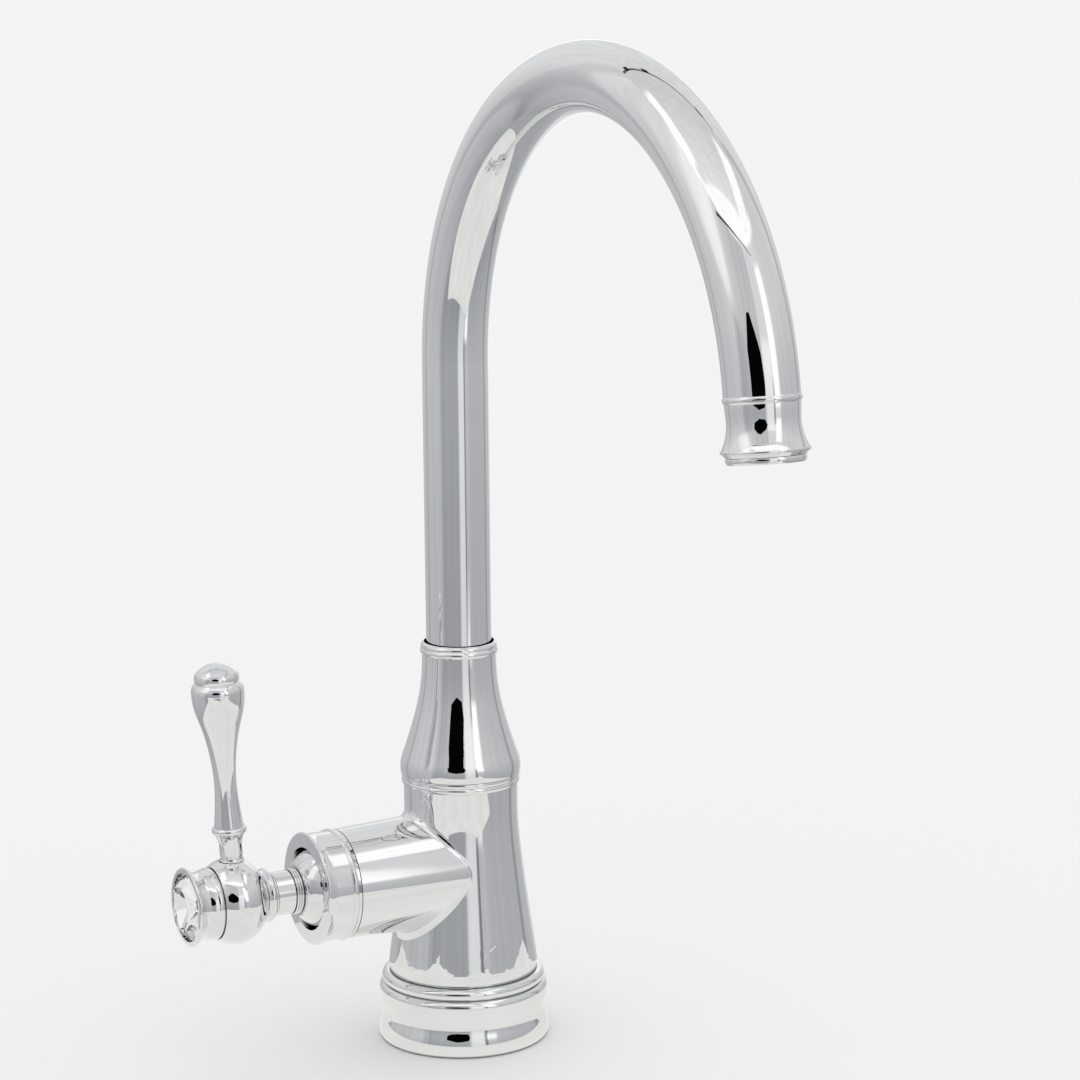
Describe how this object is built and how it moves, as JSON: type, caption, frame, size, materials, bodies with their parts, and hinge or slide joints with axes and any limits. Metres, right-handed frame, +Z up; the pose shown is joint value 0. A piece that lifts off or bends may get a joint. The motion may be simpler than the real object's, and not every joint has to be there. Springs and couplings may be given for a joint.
{
  "type": "three way kitchen mixer tap",
  "caption": "Deck kitchen mixer tap with a swivelling gooseneck spout, a bell-shaped bonnet, a flared base and a side lever that mixes hot and cold or opens filtered water.",
  "frame": {"origin": "on the tap's upright axis, at the worktop surface under the base ring", "axes": "+Z up, -Y along the spout towards the user, -X along the side barrel and handle"},
  "size_m": [0.1497, 0.2693, 0.3866],
  "materials": {
    "chromed_brass": "mirror-polished chrome on brass",
    "bare_brass": "turned",
    "black_rubber": "matt",
    "white_acetal": "smooth moulded",
    "cartridge_plastic": "smooth moulded",
    "ceramic": "lapped alumina, polished",
    "steel": "turned",
    "filter_hose": "smooth extruded",
    "aerator_plastic": "smooth moulded",
    "crystal_glass": "cut and polished"
  },
  "bodies": {
    "tap": {"base_ring": "chromed_brass", "base_gasket": "black_rubber", "body": "chromed_brass", "seam_ring": "chromed_brass", "bonnet": "chromed_brass", "collar_ring": "chromed_brass", "lower_glide_washer": "white_acetal", "upper_glide_washer": "white_acetal", "guide_ring": "white_acetal", "filter_seal": "black_rubber", "cartridge_base": "cartridge_plastic", "port_seals": "black_rubber", "fixed_disc": "ceramic", "cartridge_housing": "cartridge_plastic", "retaining_nut": "bare_brass", "barrel_cap": "chromed_brass"},
    "spout": {"spout_tube": "chromed_brass", "spout_nipple": "bare_brass", "spout_seals": "black_rubber", "filter_tube": "filter_hose", "nozzle": "chromed_brass", "aerator_seal": "black_rubber", "aerator_shell": "chromed_brass", "aerator_insert": "aerator_plastic"},
    "rotor": {"rotor": "cartridge_plastic", "pivot_pin": "steel"},
    "disc": {"moving_disc": "ceramic", "disc_carrier": "white_acetal"},
    "handle": {"stem": "steel", "dome": "chromed_brass", "sleeve": "chromed_brass", "grub_screw": "steel", "ball_hub": "chromed_brass", "lever_neck": "chromed_brass", "lever_grip": "chromed_brass", "lever_finial": "chromed_brass", "front_cap": "chromed_brass", "crystal_bezel": "chromed_brass", "crystal": "crystal_glass"}
  },
  "joints": [
    {"name": "spout_swivel", "type": "hinge", "parent": "tap", "child": "spout", "pos_m": [0, 0, 0.115], "axis": [0, 0, 1], "continuous": true},
    {"name": "handle_turn", "type": "hinge", "parent": "tap", "child": "rotor", "pos_m": [-0.056, 0, 0.0675], "axis": [1, 0, 0], "range_deg": [-45, 90]},
    {"name": "handle_tilt", "type": "hinge", "parent": "rotor", "child": "handle", "pos_m": [-0.056, 0, 0.0675], "axis": [0, -1, 0], "range_deg": [0, 20]},
    {"name": "disc_slide", "type": "slide", "parent": "rotor", "child": "disc", "axis": [0, 0, 1], "range_m": [0, 0.0055]}
  ],
  "couplings": [
    {"joint": "disc_slide", "follows": "handle_tilt", "m_per_rad": 0.0156}
  ]
}
